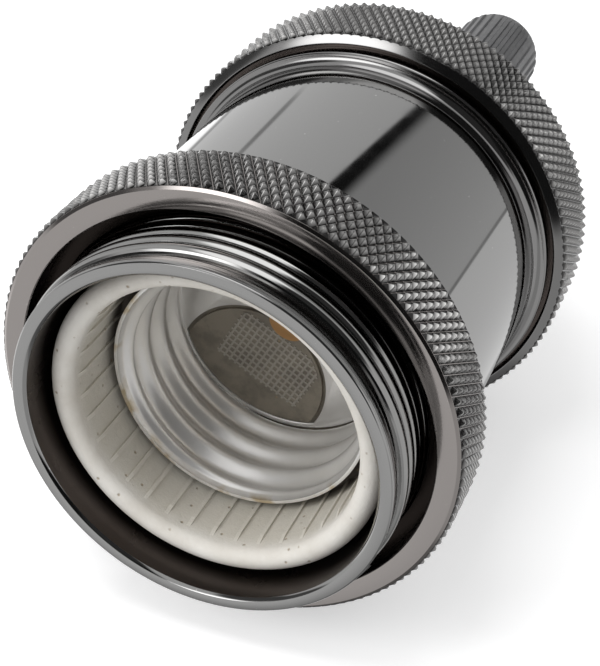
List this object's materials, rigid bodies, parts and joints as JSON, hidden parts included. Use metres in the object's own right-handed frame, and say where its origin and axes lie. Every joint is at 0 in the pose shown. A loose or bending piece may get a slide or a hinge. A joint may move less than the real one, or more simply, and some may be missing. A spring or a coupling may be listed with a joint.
{
  "type": "ceramic lamp holder",
  "caption": "Screw lamp holder: ribbed ceramic insert with a threaded metal shell in a turned metal tube, with a knurled shade ring, a knurled rear cap and a cord grip.",
  "frame": {"origin": "centre of the mouth face of the body tube", "axes": "+Z runs along the socket axis from the open mouth towards the cord grip; -Y is the side of the centre contact's rivet"},
  "size_m": [0.0486, 0.0486, 0.1022],
  "materials": {
    "dark_plating": "gloss black nickel plating over turned steel",
    "steatite": "matte unglazed",
    "shell_metal": "satin rolled sheet",
    "bronze": "satin spring bronze",
    "brass": "turned",
    "zinc_steel": "zinc plated",
    "grip_metal": "satin",
    "nylon": "moulded",
    "seal_rubber": "matte"
  },
  "bodies": {
    "housing": {"body_shell": "dark_plating"},
    "ring": {"shade_ring": "dark_plating"},
    "cap": {"rear_cap": "dark_plating", "ceramic_insert": "steatite", "screw_shell": "shell_metal", "shell_rivets": "brass", "contact_rivet": "brass", "live_terminal": "brass", "neutral_terminal": "brass", "terminal_screws": "zinc_steel", "bridge": "zinc_steel", "bridge_screws": "zinc_steel", "bridge_nuts": "zinc_steel", "earth_washer": "brass", "earth_screw": "zinc_steel", "lock_washer": "zinc_steel", "grip_body": "grip_metal", "lock_nut": "zinc_steel", "grip_jaws": "nylon", "grip_seal": "seal_rubber"},
    "contact": {"centre_contact": "bronze"},
    "nut": {"grip_nut": "grip_metal"}
  },
  "joints": [
    {"name": "ring_slide", "type": "slide", "parent": "housing", "child": "ring", "axis": [0, 0, -1], "range_m": [-0.0014, 0.0139]},
    {"name": "cap_slide", "type": "slide", "parent": "housing", "child": "cap", "axis": [0, 0, 1], "range_m": [0, 0.058]},
    {"name": "contact_spring", "type": "hinge", "parent": "cap", "child": "contact", "pos_m": [0, -0.0112, 0.0224], "axis": [1, 0, 0], "range_deg": [0, 6], "stiffness_Nm_per_rad": 0.3},
    {"name": "nut_slide", "type": "slide", "parent": "cap", "child": "nut", "axis": [0, 0, 1], "range_m": [0, 0.0195]}
  ]
}
